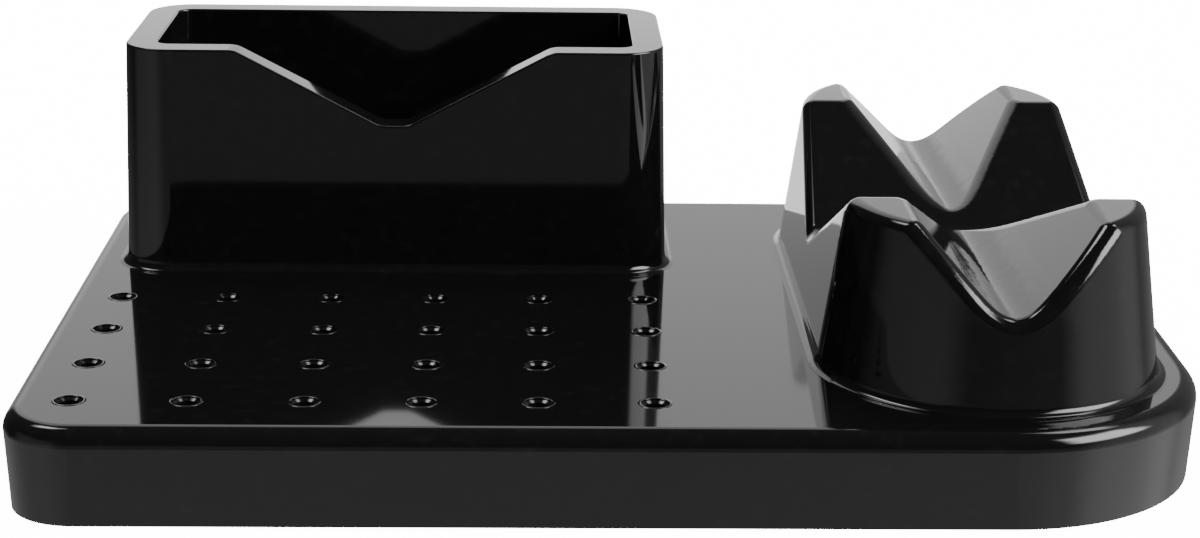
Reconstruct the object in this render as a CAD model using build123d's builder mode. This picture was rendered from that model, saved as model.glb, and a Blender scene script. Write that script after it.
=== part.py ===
"""Salon styling station: a tray with comb sockets, a brush bin and a hot-tool cradle.

Frame: +Z up, the user stands at -Y, the origin lies on the counter under the middle of the tray.
All lengths are in millimetres and all angles in degrees.
"""
from build123d import *
import os
from math import radians, tan

# tray
TRAY_LENGTH = 314.0
TRAY_WIDTH = 226.0
TRAY_HEIGHT = 26.0
TRAY_GAP = 1.0
TRAY_DRAFT = 3.0
TRAY_EDGE_RADIUS = 4.8
LEFT_CORNER_RADIUS = 19.5
RIGHT_CORNER_RADIUS = 57.0
TRAY_SKIN = 2.5
DECK = TRAY_GAP + TRAY_HEIGHT
DECK_UNDERSIDE = DECK - TRAY_SKIN

# comb sockets
SOCKET_PITCH = 30.0
SOCKET_COLUMNS = 6
SOCKET_ROWS = 4
SOCKET_CENTRE = (-65.6, -45.5)
SOCKET_BORE = 5.4
SOCKET_MOUTH = 7.1
SOCKET_MOUTH_DEPTH = 1.4
SOCKET_LIP = 8.9
SOCKET_LIP_RISE = 0.16
SOCKET_TUBE = 9.4

# brush bin
BIN_LENGTH = 163.4
BIN_WIDTH = 76.5
BIN_HEIGHT = 67.0
BIN_CENTRE = (-63.6, 64.2)
BIN_CORNER_RADIUS = 15.2
BIN_DRAFT = 1.5
BIN_WALL = 9.3
BIN_SKIN = 2.2
BIN_FLOOR = 3.0
BIN_FLOOR_RADIUS = 3.0
BIN_RIM_RADIUS = 0.6
BIN_FOOT_FLARE = 2.8
BIN_BOSS_INSET = 5.8
BIN_RISE = BIN_HEIGHT * tan(radians(BIN_DRAFT))
TOP_OF_BIN = DECK + BIN_HEIGHT

# notch in the front wall of the bin
NOTCH_TOP = 93.4
NOTCH_FLAT = 8.0
NOTCH_DEPTH = 22.4
NOTCH_BEND_RADIUS = 8.0
NOTCH_SHOULDER_RADIUS = 12.0

# hot-tool cradle
CRADLE_RADIUS = 46.0
CRADLE_SPAN = 112.4
CRADLE_CENTRE = (100.6, 1.8)
CRADLE_HEIGHT = 46.5
CRADLE_DRAFT = 7.8
CRADLE_SKIN = 2.6
CRADLE_EDGE_RADIUS = 3.8
CRADLE_RIDGE_RADIUS = 7.0
CRADLE_FOOT_FLARE = 2.6
FLARE_LIP = 0.05
SHARP_ANGLE = 5.0

# trough for the barrel, front to back, a little wider at the back
TROUGH_FLOOR = 20.4
TROUGH_TOP_FRONT = 47.4
TROUGH_TOP_BACK = 51.0
TROUGH_BLEND = 15.0

# notch across the cradle, between the front and the back posts
CROSS_FLOOR = 19.6
CROSS_TOP = 115.8
CROSS_BLEND = 5.0
CROSS_CENTRE = 0.8

# base plate, feet and screws
PLATE_RECESS = 0.6
PLATE_THICKNESS = 2.5
PLATE_CLEARANCE = 0.4
PLATE_BOTTOM = TRAY_GAP + PLATE_RECESS
PLATE_TOP = PLATE_BOTTOM + PLATE_THICKNESS
FOOT_DIAMETER = 18.0
FOOT_SEAT = 1.0
FOOT_CHAMFER = 0.4
BOSS_DIAMETER = 8.0
BOSS_DEPTH = 12.0
SCREW_SHANK = 3.0
SCREW_HEAD = 5.8
SCREW_TIP = 0.8
PLATE_SCREW = 10.0
BODY_SCREW = 9.0
PAN_HEIGHT = 2.0
DRIVE_LENGTH = 3.2
DRIVE_WIDTH = 0.9
DRIVE_DEPTH = 1.0

FOOT_SPOTS = {
    "foot_front_left": (-132.0, -90.0),
    "foot_front_right": (108.0, -86.0),
    "foot_rear_left": (-132.0, 90.0),
    "foot_rear_right": (108.0, 86.0),
}
PLATE_SCREW_SPOTS = [
    (-144.0, 30.0), (-65.6, -102.0), (-65.6, 102.0), (38.0, -100.0), (38.0, 100.0), (38.0, 0.0), (146.0, 0.0),
]


bin_x, bin_y = BIN_CENTRE
cradle_x, cradle_y = CRADLE_CENTRE


def tray_plan(inset: float) -> Sketch:
    """Plan of the tray, with small corners on the left and large ones on the right."""
    with BuildSketch() as plan:
        Rectangle(TRAY_LENGTH - 2 * inset, TRAY_WIDTH - 2 * inset)
        fillet(plan.vertices().group_by(Axis.X)[0], LEFT_CORNER_RADIUS - inset)
        fillet(plan.vertices().group_by(Axis.X)[-1], RIGHT_CORNER_RADIUS - inset)
    return plan.sketch


def bin_plan(inset: float) -> Sketch:
    """Plan of the bin at its foot."""
    with BuildSketch() as plan:
        with Locations(BIN_CENTRE):
            RectangleRounded(BIN_LENGTH - 2 * inset, BIN_WIDTH - 2 * inset, BIN_CORNER_RADIUS - inset)
    return plan.sketch


def notch_cut(grow: float) -> Part:
    """The V in the front wall of the bin, grown by the skin when it shapes the inside."""
    half, flat = NOTCH_TOP / 2, NOTCH_FLAT / 2
    reach = half + NOTCH_SHOULDER_RADIUS
    with BuildPart() as cut:
        with BuildSketch(Plane(origin=(*BIN_CENTRE, TOP_OF_BIN), x_dir=(1, 0, 0), z_dir=(0, -1, 0))) as section:
            with BuildLine():
                Polyline((-reach, NOTCH_DEPTH), (-reach, 0), (-half, 0), (-flat, -NOTCH_DEPTH), (flat, -NOTCH_DEPTH),
                         (half, 0), (reach, 0), (reach, NOTCH_DEPTH), close=True)
            make_face()
            bends = section.vertices().group_by(Axis.Z)
            fillet(bends[0], NOTCH_BEND_RADIUS)
            shoulders = section.vertices().filter_by(lambda corner: abs(abs(corner.X - bin_x) - half) < 1)
            fillet(shoulders, NOTCH_SHOULDER_RADIUS)
            if grow:
                offset(amount=grow)
        extrude(amount=BIN_WIDTH)
    return cut.part


def cradle_plan(inset: float) -> Sketch:
    """Plan of the cradle at its foot, a slot shape that runs front to back."""
    width = 2 * (CRADLE_RADIUS - inset)
    with BuildSketch() as plan:
        with Locations(CRADLE_CENTRE):
            SlotOverall(CRADLE_SPAN + width, width, rotation=90)
    return plan.sketch


def tapered(plan: Sketch, bottom: float, height: float, draft: float) -> Part:
    """Solid on a plan, with its sides leaning in by the draft as it rises."""
    with BuildPart() as solid:
        with BuildSketch(Plane.XY.offset(bottom)):
            add(plan)
        extrude(amount=height, taper=draft)
    return solid.part


def vee(width: float, floor: float, blend: float, grow: float) -> Sketch:
    """Section of a V cut, measured from the deck: eased at the bottom, or grown to shape the inside."""
    lift = CRADLE_HEIGHT / 2
    half = width / 2 * (1 + lift / (CRADLE_HEIGHT - floor))
    left, right, bottom = Vector(-half, CRADLE_HEIGHT + lift), Vector(half, CRADLE_HEIGHT + lift), Vector(0, floor)
    ends = [bottom + (side - bottom).normalized() * blend for side in (left, right)]
    eases = [(end + bottom) / 2 for end in ends]
    with BuildSketch() as section:
        with BuildLine():
            if grow:
                Polyline(left, bottom, right, left)
            else:
                Line(left, ends[0])
                Bezier(ends[0], eases[0], bottom, eases[1], ends[1])
                Polyline(ends[1], right, left)
        make_face()
        if grow:
            fillet(section.vertices().sort_by(Axis.Y)[0], blend / 2)
            offset(amount=grow)
    return section.sketch


def trough_cut(grow: float) -> Part:
    """The long V for the barrel, grown by the skin when it shapes the inside."""
    reach = CRADLE_SPAN / 2 + CRADLE_RADIUS + BOSS_DEPTH
    with BuildPart() as cut:
        for end, width in ((-reach, TROUGH_TOP_FRONT), (reach, TROUGH_TOP_BACK)):
            with BuildSketch(Plane(origin=(cradle_x, cradle_y + end, DECK), x_dir=(1, 0, 0), z_dir=(0, -1, 0))):
                add(vee(width, TROUGH_FLOOR, TROUGH_BLEND, grow))
        loft()
    return cut.part


def cross_cut(grow: float) -> Part:
    """The wide V between the front and the back posts."""
    with BuildPart() as cut:
        with BuildSketch(Plane(origin=(cradle_x, CROSS_CENTRE, DECK), x_dir=(0, 1, 0), z_dir=(1, 0, 0))):
            add(vee(CROSS_TOP, CROSS_FLOOR, CROSS_BLEND, grow))
        extrude(amount=CRADLE_RADIUS + BOSS_DEPTH, both=True)
    return cut.part


def on_ridge(edge: Edge) -> bool:
    """Whether an edge of the unrounded cradle lies where the trough meets the cross notch."""
    middle = edge.center()
    size = edge.bounding_box().size
    inside = abs(middle.X - cradle_x) < TROUGH_TOP_BACK / 2 and abs(middle.Y - CROSS_CENTRE) < CROSS_TOP / 2
    return inside and size.X > 1 and size.Y > 1


def is_sharp(edge: Edge) -> bool:
    """Whether the two faces on an edge meet at an angle."""
    sides = edge.topo_parent.faces().filter_by(lambda face: any(edge.is_same(other) for other in face.edges()))
    here = edge.position_at(0.5)
    return len(sides) == 2 and sides[0].normal_at(here).get_angle(sides[1].normal_at(here)) > SHARP_ANGLE


def flared_foot(body: Part, skirt: Sketch, radius: float) -> Part:
    """The body with a thin skirt on the deck and a hollow quarter round between the two."""
    with BuildPart() as moulding:
        add(body)
        with BuildSketch(Plane.XY.offset(DECK)):
            add(skirt)
        extrude(amount=FLARE_LIP)
        ledge = moulding.faces().filter_by(Axis.Z).sort_by(Axis.Z)[1]
        fillet(ledge.inner_wires()[0].edges(), radius - FLARE_LIP)
    return moulding.part


def screw(spot: tuple, seat: float, length: float, countersunk: bool) -> Part:
    """Cross-recessed screw pointing up, its head under the seat or sunk flush into it."""
    x, y = spot
    flare = (SCREW_HEAD - SCREW_SHANK) / 2
    head = 0.0 if countersunk else -PAN_HEIGHT
    with BuildPart() as body:
        with BuildSketch(Plane.XZ) as profile:
            with BuildLine():
                points = [(0, head), (SCREW_HEAD / 2, head)]
                points += [(SCREW_SHANK / 2, flare)] if countersunk else [(SCREW_HEAD / 2, 0), (SCREW_SHANK / 2, 0)]
                points += [(SCREW_SHANK / 2, length - SCREW_TIP), (SCREW_SHANK / 2 - SCREW_TIP, length), (0, length)]
                Polyline(*points, close=True)
            make_face()
        revolve(axis=Axis.Z)
        with BuildSketch(Plane.XY.offset(head)):
            Rectangle(DRIVE_LENGTH, DRIVE_WIDTH)
            Rectangle(DRIVE_WIDTH, DRIVE_LENGTH)
        extrude(amount=DRIVE_DEPTH, mode=Mode.SUBTRACT)
    return body.part.moved(Location((x, y, seat)))


def screw_group(spots: list, seat: float, length: float, countersunk: bool) -> Compound:
    """One screw at each spot, kept as separate solids."""
    return Compound(children=[screw(spot, seat, length, countersunk) for spot in spots])


BIN_SCREW_SPOTS = [
    (bin_x + side * BIN_LENGTH / 3, bin_y + face * (BIN_WIDTH / 2 - BIN_BOSS_INSET))
    for side in (-1, 1) for face in (-1, 1)
]
CRADLE_SCREW_SPOTS = [
    (cradle_x + side * CRADLE_RADIUS * 2 / 3, cradle_y + end * CRADLE_SPAN * 3 / 5)
    for side in (-1, 1) for end in (-1, 1)
]
BODY_SCREW_SPOTS = BIN_SCREW_SPOTS + CRADLE_SCREW_SPOTS

# low rounded lip round the mouth of one socket
with BuildPart() as socket_lip:
    with BuildSketch(Plane.XZ):
        with BuildLine():
            outer, inner = SOCKET_LIP / 2, SOCKET_MOUTH / 2
            ThreePointArc((outer, 0), ((outer + inner) / 2, SOCKET_LIP_RISE), (inner, 0))
            Polyline((inner, 0), (inner, -TRAY_SKIN / 2), (outer, -TRAY_SKIN / 2), (outer, 0))
        make_face()
    revolve(axis=Axis.Z)

# tray shell: open underneath, with a tube below each comb hole and a boss over each plate screw
with BuildPart() as tray_shell:
    with BuildSketch(Plane.XY.offset(DECK)):
        add(tray_plan(0))
    extrude(amount=-TRAY_HEIGHT, taper=TRAY_DRAFT)
    fillet(tray_shell.faces().sort_by(Axis.Z)[-1].edges(), TRAY_EDGE_RADIUS)
    with BuildSketch(Plane.XY.offset(DECK_UNDERSIDE)):
        add(tray_plan(TRAY_SKIN))
    extrude(amount=-TRAY_HEIGHT, taper=TRAY_DRAFT, mode=Mode.SUBTRACT)
    with BuildSketch(Plane.XY.offset(PLATE_TOP)):
        with Locations(SOCKET_CENTRE):
            with GridLocations(SOCKET_PITCH, SOCKET_PITCH, SOCKET_COLUMNS, SOCKET_ROWS):
                Circle(SOCKET_TUBE / 2)
        with Locations(*PLATE_SCREW_SPOTS):
            Circle(BOSS_DIAMETER / 2)
    extrude(amount=DECK_UNDERSIDE - PLATE_TOP)
    with BuildSketch(Plane.XY.offset(PLATE_TOP)):
        with Locations(SOCKET_CENTRE):
            with GridLocations(SOCKET_PITCH, SOCKET_PITCH, SOCKET_COLUMNS, SOCKET_ROWS):
                Circle(SOCKET_BORE / 2)
        with Locations(*BODY_SCREW_SPOTS):
            Circle(SCREW_SHANK / 2)
    extrude(amount=TRAY_HEIGHT, mode=Mode.SUBTRACT)
    with BuildSketch(Plane.XY.offset(PLATE_TOP)):
        with Locations(*PLATE_SCREW_SPOTS):
            Circle(SCREW_SHANK / 2)
    extrude(amount=BOSS_DEPTH, mode=Mode.SUBTRACT)
    mouths = tray_shell.faces().filter_by(Axis.Z).filter_by_position(Axis.Z, DECK - 0.1, DECK + 0.1)
    rims = mouths.edges().filter_by(GeomType.CIRCLE)
    rims = rims.filter_by(lambda edge: abs(edge.radius - SOCKET_BORE / 2) < 0.1)
    chamfer(rims, SOCKET_MOUTH_DEPTH, (SOCKET_MOUTH - SOCKET_BORE) / 2)
    with Locations((*SOCKET_CENTRE, DECK)):
        with GridLocations(SOCKET_PITCH, SOCKET_PITCH, SOCKET_COLUMNS, SOCKET_ROWS):
            add(socket_lip.part)
tray_shell.part.label = "tray_shell"

# space between the two walls of the bin, with a boss left standing in it for each deck screw
bin_outer = tapered(bin_plan(0), DECK, BIN_HEIGHT, BIN_DRAFT)
bin_inner = tapered(bin_plan(BIN_SKIN), DECK, BIN_HEIGHT - BIN_SKIN, BIN_DRAFT)
notch, notch_skin = notch_cut(0), notch_cut(BIN_SKIN)
with BuildPart() as wall_space:
    add(bin_inner)
    with BuildSketch(Plane.XY.offset(TOP_OF_BIN)):
        add(bin_plan(BIN_RISE + BIN_WALL - BIN_SKIN))
    extrude(amount=-BIN_HEIGHT, taper=BIN_DRAFT, mode=Mode.SUBTRACT)
    add(notch_skin, mode=Mode.SUBTRACT)
    with BuildSketch(Plane.XY.offset(DECK)):
        with Locations(*BIN_SCREW_SPOTS):
            Circle(BOSS_DIAMETER / 2)
    extrude(amount=BOSS_DEPTH + BIN_SKIN, mode=Mode.SUBTRACT)

# brush bin: two walls joined at the rim, with a rounded well and a V in the front
bin_block = flared_foot(bin_outer, bin_plan(-BIN_FOOT_FLARE), BIN_FOOT_FLARE)
with BuildPart() as brush_bin:
    add(bin_block)
    with BuildSketch(Plane.XY.offset(TOP_OF_BIN)):
        add(bin_plan(BIN_RISE + BIN_WALL))
    extrude(amount=BIN_FLOOR - BIN_HEIGHT, taper=BIN_DRAFT, mode=Mode.SUBTRACT)
    floor_level = DECK + BIN_FLOOR
    well_floor = brush_bin.faces().filter_by(Axis.Z).filter_by_position(Axis.Z, floor_level - 0.1, floor_level + 0.1)
    fillet(well_floor.edges(), BIN_FLOOR_RADIUS)
    add(notch, mode=Mode.SUBTRACT)
    rim = brush_bin.edges().filter_by(lambda edge: edge.bounding_box().min.Z > TOP_OF_BIN - NOTCH_DEPTH - 1)
    rim = rim.filter_by(lambda edge: edge.length > BIN_WALL + 1 or abs(edge.tangent_at(0.5).Y) < 0.99)
    fillet(rim, BIN_RIM_RADIUS)
    add(wall_space.part, mode=Mode.SUBTRACT)
    with BuildSketch(Plane.XY.offset(DECK)):
        with Locations(*BIN_SCREW_SPOTS):
            Circle(SCREW_SHANK / 2)
    extrude(amount=BOSS_DEPTH, mode=Mode.SUBTRACT)
brush_bin.part.label = "brush_bin"

# space under the cradle's skin, with a column left standing under each post
cradle_outer = tapered(cradle_plan(0), DECK, CRADLE_HEIGHT, CRADLE_DRAFT)
cradle_inner = tapered(cradle_plan(CRADLE_SKIN), DECK, CRADLE_HEIGHT - CRADLE_SKIN, CRADLE_DRAFT)
trough, trough_skin = trough_cut(0), trough_cut(CRADLE_SKIN)
cross, cross_skin = cross_cut(0), cross_cut(CRADLE_SKIN)
with BuildPart() as post_space:
    add(cradle_inner)
    add(trough_skin, mode=Mode.SUBTRACT)
    add(cross_skin, mode=Mode.SUBTRACT)
    with BuildSketch(Plane.XY.offset(DECK)):
        with Locations(*CRADLE_SCREW_SPOTS):
            Circle(BOSS_DIAMETER / 2)
    extrude(amount=CRADLE_HEIGHT, mode=Mode.SUBTRACT)

# tool cradle: four posts left by the trough and the cross notch, every upper edge rounded
cradle_block = flared_foot(cradle_outer, cradle_plan(-CRADLE_FOOT_FLARE), CRADLE_FOOT_FLARE)
with BuildPart() as tool_cradle:
    add(cradle_block)
    add(trough, mode=Mode.SUBTRACT)
    add(cross, mode=Mode.SUBTRACT)
    raised = tool_cradle.edges().filter_by(lambda edge: edge.bounding_box().min.Z > DECK + CROSS_FLOOR)
    ridges = raised.filter_by(on_ridge)
    fillet(ridges, CRADLE_RIDGE_RADIUS)
    raised = tool_cradle.edges().filter_by(lambda edge: edge.bounding_box().min.Z > DECK + CROSS_FLOOR)
    fillet(raised.filter_by(is_sharp), CRADLE_EDGE_RADIUS)
    add(post_space.part, mode=Mode.SUBTRACT)
    with BuildSketch(Plane.XY.offset(DECK)):
        with Locations(*CRADLE_SCREW_SPOTS):
            Circle(SCREW_SHANK / 2)
    extrude(amount=BOSS_DEPTH, mode=Mode.SUBTRACT)
tool_cradle.part.label = "tool_cradle"

# base plate: closes the tray, seats the feet and takes the countersunk screws
with BuildPart() as base_plate:
    with BuildSketch(Plane.XY.offset(PLATE_BOTTOM)):
        add(tray_plan(TRAY_SKIN + TRAY_HEIGHT * tan(radians(TRAY_DRAFT)) + PLATE_CLEARANCE))
    extrude(amount=PLATE_THICKNESS)
    with BuildSketch(Plane.XY.offset(PLATE_BOTTOM)):
        with Locations(*FOOT_SPOTS.values()):
            Circle(FOOT_DIAMETER / 2)
    extrude(amount=FOOT_SEAT, mode=Mode.SUBTRACT)
    with Locations(Plane(origin=(0, 0, PLATE_BOTTOM), x_dir=(1, 0, 0), z_dir=(0, 0, -1))):
        with Locations(*[(x, -y) for x, y in PLATE_SCREW_SPOTS]):
            CounterSinkHole(SCREW_SHANK / 2, SCREW_HEAD / 2, counter_sink_angle=90)
base_plate.part.label = "base_plate"

plate_screws = screw_group(PLATE_SCREW_SPOTS, PLATE_BOTTOM, PLATE_SCREW, True)
plate_screws.label = "plate_screws"
bin_screws = screw_group(BIN_SCREW_SPOTS, DECK_UNDERSIDE, BODY_SCREW, False)
bin_screws.label = "bin_screws"
cradle_screws = screw_group(CRADLE_SCREW_SPOTS, DECK_UNDERSIDE, BODY_SCREW, False)
cradle_screws.label = "cradle_screws"

# rubber feet: discs seated in the base plate
feet = []
for name, spot in FOOT_SPOTS.items():
    with BuildPart() as foot:
        with BuildSketch():
            with Locations(spot):
                Circle(FOOT_DIAMETER / 2)
        extrude(amount=PLATE_BOTTOM + FOOT_SEAT)
        chamfer(foot.faces().sort_by(Axis.Z)[0].edges(), FOOT_CHAMFER)
    foot.part.label = name
    feet.append(foot.part)

os.makedirs("parts", exist_ok=True)
mouldings = [tray_shell.part, brush_bin.part, tool_cradle.part, base_plate.part]
for piece in mouldings + feet + [plate_screws, bin_screws, cradle_screws]:
    export_step(piece, f"parts/{piece.label}.step")
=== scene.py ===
"""Salon styling station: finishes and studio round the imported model.

The tray, the brush bin and the tool cradle are mirror-gloss black mouldings on a textured base
plate with rubber feet and plated screws. Every length is in metres, in the frame of the model:
+X towards the cradle, +Y away from the user, +Z up, origin on the counter.
"""
import logging
import math
from dataclasses import dataclass
from enum import Enum
from functools import cache
from typing import Any, Optional, Union

import bmesh
import bpy
from mathutils import Matrix, Vector

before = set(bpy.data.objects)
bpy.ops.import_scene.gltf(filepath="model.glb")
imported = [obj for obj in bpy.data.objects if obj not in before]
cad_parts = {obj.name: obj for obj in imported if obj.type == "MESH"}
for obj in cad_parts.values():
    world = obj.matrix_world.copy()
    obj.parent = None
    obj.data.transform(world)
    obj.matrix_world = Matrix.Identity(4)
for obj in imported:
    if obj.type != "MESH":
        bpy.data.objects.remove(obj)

LOG = logging.getLogger("styling_station")
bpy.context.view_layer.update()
WHITE = (1.0, 1.0, 1.0, 1.0)
# places of the two colours and of the result among a Mix node's sockets
MIX_CLEAN, MIX_DUSTY, MIX_RESULT = 6, 7, 2
# octaves of each noise, and the part of its values that the change is spread over
SMEAR_DETAIL, SMEAR_RANGE = 5.0, (0.35, 0.75)
DUST_DETAIL, DUST_RANGE = 6.0, (0.5, 0.85)
RELIEF_DETAIL = 2.0


class Slot(Enum):
    """The record's material slots."""

    GLOSS = "gloss_black"
    BASE = "base_black"
    RUBBER = "foot_rubber"
    STEEL = "screw_steel"


class Signal:
    """A shader socket that takes part in Python arithmetic."""

    def __init__(self, graph: "ShaderGraph", socket: Any) -> None:
        """Wrap a socket.

        Args:
            graph: The graph that owns the socket.
            socket: The output socket.
        """
        self.graph = graph
        self.socket = socket

    def _math(self, operation: str, *values: Any) -> "Signal":
        """Add one Math node."""
        return self.graph.node("ShaderNodeMath", {"operation": operation}, dict(enumerate(values)))

    def __add__(self, other: Any) -> "Signal":
        """Sum."""
        return self._math("ADD", self, other)

    __radd__ = __add__

    def __sub__(self, other: Any) -> "Signal":
        """Difference."""
        return self._math("SUBTRACT", self, other)

    def __rsub__(self, other: Any) -> "Signal":
        """Difference, reflected."""
        return self._math("SUBTRACT", other, self)

    def __mul__(self, other: Any) -> "Signal":
        """Product."""
        return self._math("MULTIPLY", self, other)

    __rmul__ = __mul__

    def __truediv__(self, other: Any) -> "Signal":
        """Quotient."""
        return self._math("DIVIDE", self, other)

    def power(self, exponent: float) -> "Signal":
        """Raise to a power."""
        return self._math("POWER", self, exponent)

    def ramp(self, low: float, high: float, start: float = 0.0, end: float = 1.0) -> "Signal":
        """Ease from start to end while the value goes from low to high.

        Args:
            low: Value where the result is start.
            high: Value where the result is end.
            start: Result at and below low.
            end: Result at and above high.

        Returns:
            The eased signal.
        """
        settings = {"interpolation_type": "SMOOTHSTEP"}
        return self.graph.node("ShaderNodeMapRange", settings, {0: self, 1: low, 2: high, 3: start, 4: end})


class ShaderGraph:
    """A node tree that is cleared and built by name."""

    def __init__(self, tree: bpy.types.NodeTree) -> None:
        """Clear a tree.

        Args:
            tree: The node tree of a material or of the world.
        """
        tree.nodes.clear()
        self.tree = tree

    def node(self, kind: str, settings: Optional[dict] = None, inputs: Optional[dict] = None,
             output: Union[int, str] = 0) -> Signal:
        """Add a node.

        Args:
            kind: The node's type name.
            settings: Attributes to set before its sockets.
            inputs: Values or signals for its sockets, by name or index.
            output: The output to return.

        Returns:
            The chosen output as a signal.
        """
        made = self.tree.nodes.new(kind)
        for name, value in (settings or {}).items():
            setattr(made, name, value)
        for name, value in (inputs or {}).items():
            if isinstance(value, Signal):
                self.tree.links.new(value.socket, made.inputs[name])
            else:
                made.inputs[name].default_value = value
        return Signal(self, made.outputs[output] if len(made.outputs) else None)

    def noise(self, place: Signal, scale: float, detail: float) -> Signal:
        """Add a noise pattern.

        Args:
            place: Coordinates.
            scale: Cells per metre.
            detail: Octaves.

        Returns:
            The pattern.
        """
        return self.node("ShaderNodeTexNoise", None, {"Vector": place, "Scale": scale, "Detail": detail})


@dataclass(frozen=True)
class Finish:
    """A moulded or metal surface with a fine procedural texture.

    Attributes:
        name: Name of the material.
        slot: Material slot in the record.
        color: Base colour, linear.
        roughness: Least roughness.
        roughness_spread: How far the roughness wanders.
        metallic: 1 for bare metal.
        relief_scale: Size of the surface's relief, as cells per metre.
        relief_height: Depth of the relief, in metres.
        dust: How much lighter the base colour is under the thickest film of dust.
        ior: Index of refraction.
        smear_scale: Size of the patches of roughness, as cells per metre.
        dust_scale: Size of the specks of dust, as cells per metre.
    """

    name: str
    slot: Slot
    color: tuple
    roughness: float
    roughness_spread: float
    metallic: float = 0.0
    relief_scale: float = 900.0
    relief_height: float = 0.0
    dust: float = 0.0
    ior: float = 1.5
    smear_scale: float = 14.0
    dust_scale: float = 260.0

    @cache
    def material(self) -> bpy.types.Material:
        """Build the material, once for all the pieces that have the finish.

        Returns:
            The finished material.
        """
        made = bpy.data.materials.new(self.name)
        made.use_nodes = True
        graph = ShaderGraph(made.node_tree)
        place = graph.node("ShaderNodeTexCoord", output="Object")
        smear = graph.noise(place, self.smear_scale, SMEAR_DETAIL)
        inputs: dict = {
            "Base Color": (*self.color, 1.0),
            "Roughness": smear.ramp(*SMEAR_RANGE, self.roughness, self.roughness + self.roughness_spread),
            "Metallic": self.metallic,
            "IOR": self.ior}
        if self.dust:
            inputs["Base Color"] = self.dusty_color(graph, place)
        if self.relief_height:
            inputs["Normal"] = self.relief(graph, place)
        shader = graph.node("ShaderNodeBsdfPrincipled", None, inputs)
        graph.node("ShaderNodeOutputMaterial", None, {"Surface": shader})
        return made

    def dusty_color(self, graph: ShaderGraph, place: Signal) -> Signal:
        """Base colour under a thin film of dust.

        Args:
            graph: The material's node tree.
            place: Object coordinates.

        Returns:
            The colour.
        """
        film = graph.noise(place, self.dust_scale, DUST_DETAIL)
        dusty = tuple(channel + self.dust for channel in self.color)
        return graph.node("ShaderNodeMix", {"data_type": "RGBA"}, {
            "Factor": film.ramp(*DUST_RANGE), MIX_CLEAN: (*self.color, 1.0), MIX_DUSTY: (*dusty, 1.0)},
            output=MIX_RESULT)

    def relief(self, graph: ShaderGraph, place: Signal) -> Signal:
        """Normal of the grain or of the moulding's slow ripple.

        Args:
            graph: The material's node tree.
            place: Object coordinates.

        Returns:
            The normal.
        """
        height = graph.noise(place, self.relief_scale, RELIEF_DETAIL)
        return graph.node("ShaderNodeBump", None, {
            "Height": height, "Distance": self.relief_height, "Strength": 1.0})


GLOSS_BLACK = Finish("gloss_black_moulding", Slot.GLOSS, (0.0032, 0.0032, 0.0033), 0.055, 0.02,
                     relief_scale=22.0, relief_height=0.000004, dust=0.003)
BASE_BLACK = Finish("textured_black_plate", Slot.BASE, (0.02, 0.02, 0.021), 0.55, 0.1, relief_height=0.0001)
FOOT_RUBBER = Finish("foot_rubber", Slot.RUBBER, (0.018, 0.018, 0.018), 0.7, 0.12, relief_height=0.00005)
PLATED_STEEL = Finish("plated_steel", Slot.STEEL, (0.56, 0.56, 0.58), 0.28, 0.12, metallic=1.0)


@dataclass
class SubAssembly:
    """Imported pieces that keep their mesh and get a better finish.

    Attributes:
        nodes: Names of the pieces.
        finish: What they are made of.
    """

    nodes: tuple
    finish: Finish

    def dress(self) -> None:
        """Give every piece the finish."""
        for name in self.nodes:
            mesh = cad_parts[name].data
            mesh.materials.clear()
            mesh.materials.append(self.finish.material())
            LOG.info("%s dressed in %s, slot %s", name, self.finish.name, self.finish.slot.value)


@dataclass
class Tray(SubAssembly):
    """The low tray with the grid of comb sockets."""

    nodes: tuple = ("tray_shell",)
    finish: Finish = GLOSS_BLACK


@dataclass
class BrushBin(SubAssembly):
    """The double-walled bin with a notch in its front."""

    nodes: tuple = ("brush_bin",)
    finish: Finish = GLOSS_BLACK


@dataclass
class ToolCradle(SubAssembly):
    """The four-post cradle for hot tools."""

    nodes: tuple = ("tool_cradle",)
    finish: Finish = GLOSS_BLACK


@dataclass
class BasePlate(SubAssembly):
    """The cover that closes the tray from below."""

    nodes: tuple = ("base_plate",)
    finish: Finish = BASE_BLACK


@dataclass
class Feet(SubAssembly):
    """The four rubber discs under the base plate."""

    nodes: tuple = ("foot_front_left", "foot_front_right", "foot_rear_left", "foot_rear_right")
    finish: Finish = FOOT_RUBBER


@dataclass
class Screws(SubAssembly):
    """The screws that hold the plate, the bin and the cradle to the tray."""

    nodes: tuple = ("plate_screws", "bin_screws", "cradle_screws")
    finish: Finish = PLATED_STEEL


@dataclass(frozen=True)
class Panel:
    """A soft-edged patch of light in the room, given by direction in degrees.

    Attributes:
        heading: Middle of the patch; 0 is straight behind the object and 90 is to its right.
        half_width: Half of its spread round the room.
        side_blur: How far its sides fade.
        low: Elevation of its lower edge.
        high: Elevation of its upper edge.
        edge_blur: How far its lower and upper edges fade.
        radiance: Brightness of the patch.
    """

    heading: float
    half_width: float
    side_blur: float
    low: float
    high: float
    edge_blur: float
    radiance: float

    def glow(self, across: Signal, away: Signal, up: Signal) -> Signal:
        """Brightness that the patch adds in a direction.

        Args:
            across: Level part of the direction to the right, on the unit circle.
            away: Level part of the direction to the back, on the unit circle.
            up: Sine of the elevation.

        Returns:
            The brightness.
        """
        turn = math.radians(self.heading)
        nearness = across * math.sin(turn) + away * math.cos(turn)
        outer, inner = (math.cos(math.radians(max(self.half_width + step, 0.0)))
                        for step in (self.side_blur, -self.side_blur))
        bottom, floor, ceiling, top = (math.sin(math.radians(level)) for level in (
            self.low - self.edge_blur, self.low + self.edge_blur,
            self.high - self.edge_blur, self.high + self.edge_blur))
        sides = nearness.ramp(outer, inner)
        return sides * up.ramp(bottom, floor) * up.ramp(ceiling, top, self.radiance, 0.0)


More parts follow.
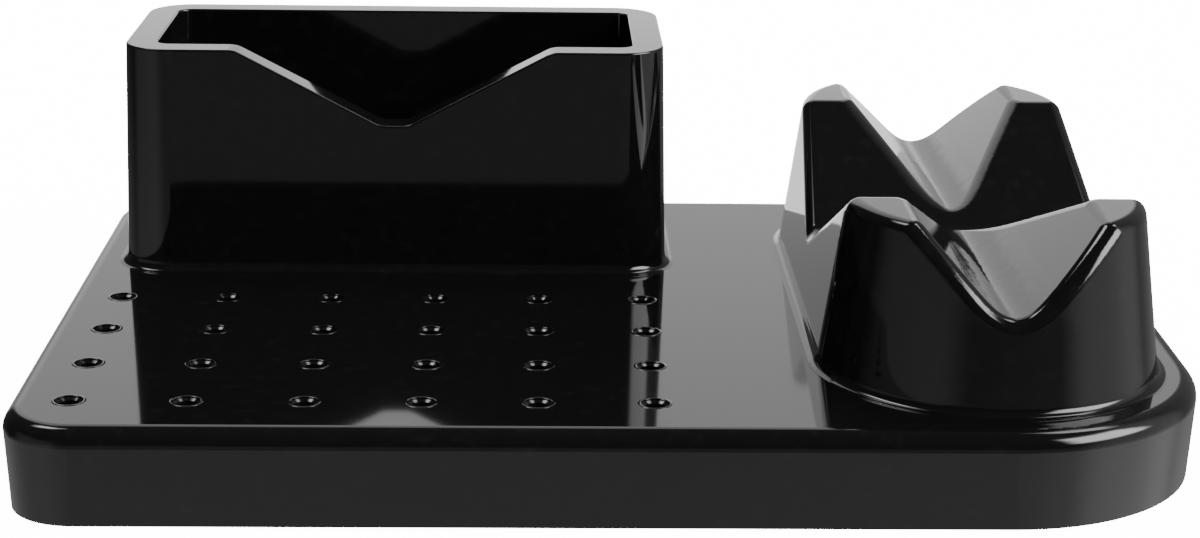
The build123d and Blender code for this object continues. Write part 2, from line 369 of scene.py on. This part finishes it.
ROOM_GLOW = 0.06
PANELS = {
    "backdrop": Panel(heading=-3, half_width=20, side_blur=4,
                      low=4, high=48, edge_blur=6, radiance=1.15),
    "backdrop_low": Panel(heading=-1, half_width=15, side_blur=5,
                          low=-30, high=4, edge_blur=6, radiance=1.15),
    "backdrop_foot": Panel(heading=0, half_width=12, side_blur=6,
                           low=-30, high=11.5, edge_blur=3, radiance=0.95),
    "backdrop_left": Panel(heading=-19, half_width=6, side_blur=4,
                           low=-30, high=4, edge_blur=6, radiance=0.4),
    "right_wall": Panel(heading=98, half_width=28, side_blur=14,
                        low=-40, high=54, edge_blur=8, radiance=0.7),
    "right_haze": Panel(heading=42, half_width=26, side_blur=8,
                        low=-20, high=54, edge_blur=8, radiance=0.16),
    "left_haze": Panel(heading=-118, half_width=30, side_blur=14,
                       low=-20, high=16, edge_blur=8, radiance=0.28),
    "right_softbox": Panel(heading=114, half_width=23, side_blur=7,
                           low=17.5, high=48, edge_blur=5, radiance=12.5),
    "left_softbox": Panel(heading=-47, half_width=10, side_blur=4,
                          low=51, high=68, edge_blur=5, radiance=9),
    "upper_right": Panel(heading=55, half_width=14, side_blur=5,
                         low=53, high=69, edge_blur=4, radiance=6),
    "table": Panel(heading=180, half_width=170, side_blur=9,
                   low=-80, high=-22, edge_blur=7, radiance=0.34),
    "table_left": Panel(heading=-95, half_width=45, side_blur=35,
                        low=-80, high=-14, edge_blur=5, radiance=0.28),
    "table_right": Panel(heading=100, half_width=45, side_blur=35,
                         low=-80, high=-16, edge_blur=5, radiance=0.45),
    "front_low": Panel(heading=180, half_width=60, side_blur=30,
                       low=-40, high=-3, edge_blur=7, radiance=0.2),
}


@dataclass
class Studio:
    """Pale cove, soft light and the camera."""

    floor_radius: float = 5.0
    cove_radius: float = 2.0
    cove_height: float = 8.0
    cove_segments: int = 48
    cove_bend: float = 0.3
    merge_distance: float = 1e-5
    floor_color: tuple = (0.86, 0.86, 0.86)
    floor_roughness: float = 0.9
    floor_lift: float = 14.0
    lamp_energy: float = 3.0
    lamp_angle: float = 120.0
    camera_place: tuple = (-0.02194, -0.71086, 0.24667)
    camera_yaw: float = 1.541
    camera_pitch: float = 16.491
    camera_roll: float = -0.801
    lens: float = 76.76
    sensor: float = 36.0
    clip_start: float = 0.05
    clip_end: float = 100.0

    def build(self) -> None:
        """Make the floor, the world, the lamp and the camera."""
        self.make_floor()
        self.make_world()
        self.make_lamp()
        self.make_camera()

    def make_floor(self) -> None:
        """A plain pale floor that curves up into a wall all round, and that the gloss doesn't mirror."""
        shape = bmesh.new()
        bend = self.floor_radius + self.cove_radius
        ease = self.cove_bend * self.cove_radius
        path = [shape.verts.new((radius, 0.0, height)) for radius, height in (
            (0.0, 0.0), (self.floor_radius, 0.0), (bend - ease, ease),
            (bend, self.cove_radius), (bend, self.cove_height))]
        profile = [shape.edges.new(pair) for pair in zip(path, path[1:])]
        bmesh.ops.spin(shape, geom=path + profile, cent=(0, 0, 0), axis=(0, 0, 1), angle=math.tau,
                       steps=self.cove_segments, use_merge=True)
        bmesh.ops.remove_doubles(shape, verts=shape.verts, dist=self.merge_distance)
        bmesh.ops.recalc_face_normals(shape, faces=shape.faces)
        mesh = bpy.data.meshes.new("floor")
        shape.to_mesh(mesh)
        shape.free()
        floor = bpy.data.objects.new("floor", mesh)
        bpy.context.scene.collection.objects.link(floor)
        floor.visible_glossy = floor.visible_diffuse = floor.visible_shadow = False
        made = bpy.data.materials.new("pale_floor")
        made.use_nodes = True
        graph = ShaderGraph(made.node_tree)
        shader = graph.node("ShaderNodeBsdfPrincipled", None, {
            "Base Color": (*self.floor_color, 1.0), "Roughness": self.floor_roughness,
            "Emission Color": WHITE, "Emission Strength": self.floor_lift})
        graph.node("ShaderNodeOutputMaterial", None, {"Surface": shader})
        mesh.materials.append(made)

    def make_world(self) -> None:
        """The room as the gloss sees it: a lit backdrop, three softboxes, dim walls and the table."""
        world = bpy.data.worlds.new("studio")
        world.use_nodes = True
        bpy.context.scene.world = world
        graph = ShaderGraph(world.node_tree)
        direction = graph.node("ShaderNodeTexCoord", output="Generated")
        split = graph.node("ShaderNodeSeparateXYZ", None, {"Vector": direction})
        across, away, up = (Signal(graph, split.socket.node.outputs[name]) for name in "XYZ")
        level = (1.0 - up * up).power(0.5)
        across, away = across / level, away / level
        glow = ROOM_GLOW
        for panel in PANELS.values():
            glow = panel.glow(across, away, up) + glow
        light = graph.node("ShaderNodeBackground", None, {"Color": WHITE, "Strength": glow})
        graph.node("ShaderNodeOutputWorld", None, {"Surface": light})

    def make_lamp(self) -> None:
        """A very soft overhead sun for the floor and the matt pieces."""
        sun = bpy.data.lights.new("overhead", "SUN")
        sun.energy = self.lamp_energy
        sun.angle = math.radians(self.lamp_angle)
        lamp = bpy.data.objects.new("overhead", sun)
        lamp.visible_glossy = False
        bpy.context.scene.collection.objects.link(lamp)

    def make_camera(self) -> None:
        """The camera, a little above the object and square to its front."""
        data = bpy.data.cameras.new("camera")
        data.lens, data.sensor_width = self.lens, self.sensor
        data.clip_start, data.clip_end = self.clip_start, self.clip_end
        camera = bpy.data.objects.new("camera", data)
        yaw, pitch, roll = (math.radians(v) for v in (self.camera_yaw, self.camera_pitch, self.camera_roll))
        look = Vector((math.sin(yaw) * math.cos(pitch), math.cos(yaw) * math.cos(pitch), -math.sin(pitch)))
        right = Vector((math.cos(yaw), -math.sin(yaw), 0.0))
        down = look.cross(right)
        tilted_right = right * math.cos(roll) + down * math.sin(roll)
        tilted_down = down * math.cos(roll) - right * math.sin(roll)
        turn = Matrix((tilted_right, -tilted_down, -look)).transposed()
        camera.matrix_world = Matrix.Translation(self.camera_place) @ turn.to_4x4()
        bpy.context.scene.collection.objects.link(camera)
        bpy.context.scene.camera = camera


def main() -> None:
    """Build every sub-assembly and the studio."""
    logging.basicConfig(level=logging.INFO, format="%(name)s: %(message)s")
    for sub_assembly in (Tray(), BrushBin(), ToolCradle(), BasePlate(), Feet(), Screws()):
        sub_assembly.dress()
    Studio().build()


if __name__ == "__main__":
    main()
